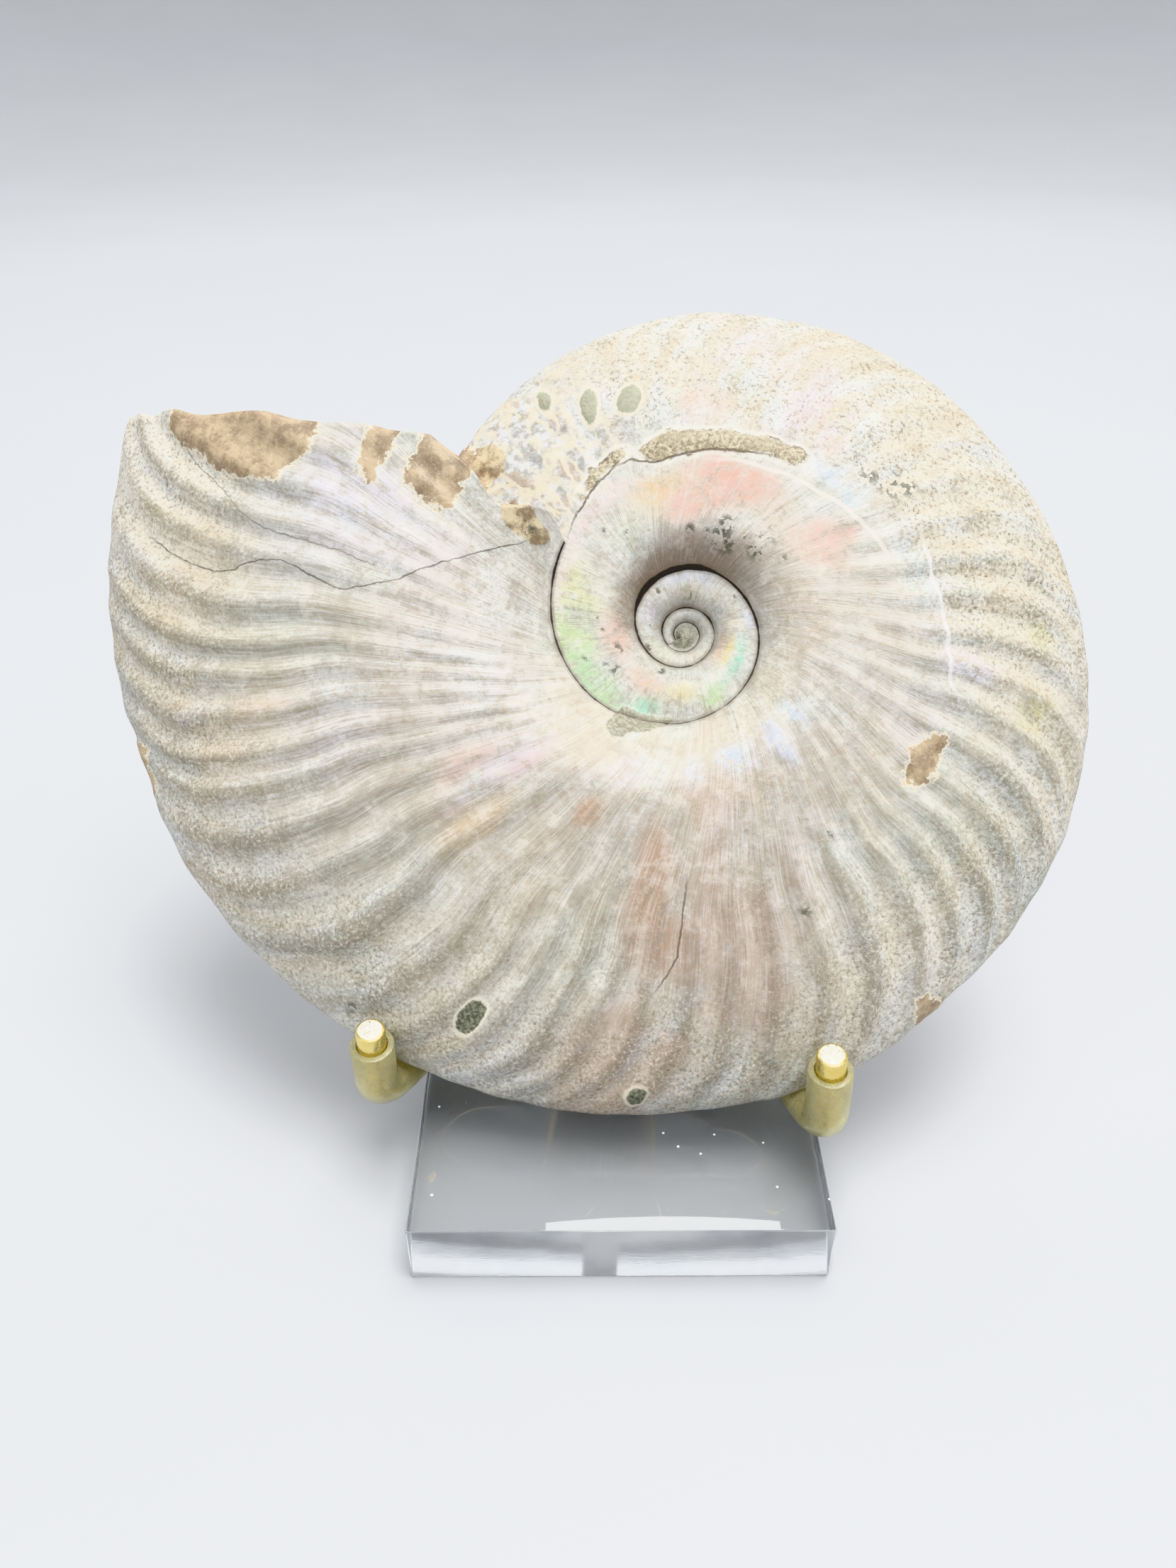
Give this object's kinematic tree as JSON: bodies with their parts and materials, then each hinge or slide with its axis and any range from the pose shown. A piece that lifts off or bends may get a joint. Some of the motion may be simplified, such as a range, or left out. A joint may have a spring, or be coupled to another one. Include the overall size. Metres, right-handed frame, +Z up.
{
  "type": "ammonite fossil",
  "caption": "Coiled ribbed cleoniceras ammonite leaning on a bent brass rod display stand with clear sleeves and a clear block foot.",
  "frame": {"origin": "on the surface the stand's foot stands on, under the middle of the whole part's bounding box", "axes": "+Z up, +X to the right across the coil as seen from its front, +Y away from the viewer, the way the shell leans back"},
  "size_m": [0.2225, 0.1381, 0.1646],
  "materials": {
    "nacre": "worn pearly fossil shell over stone matrix",
    "acrylic": "clear polished acrylic",
    "brass": "bright drawn brass rod",
    "steel": "plain steel screw",
    "tubing": "clear soft plastic tubing"
  },
  "bodies": {
    "root": {"ammonite": "nacre", "acrylic_foot": "acrylic", "foot_screw": "steel", "hub": "brass", "fork": "brass", "back_rest": "brass", "left_sleeve": "tubing", "right_sleeve": "tubing", "back_sleeve": "tubing"}
  },
  "joints": []
}
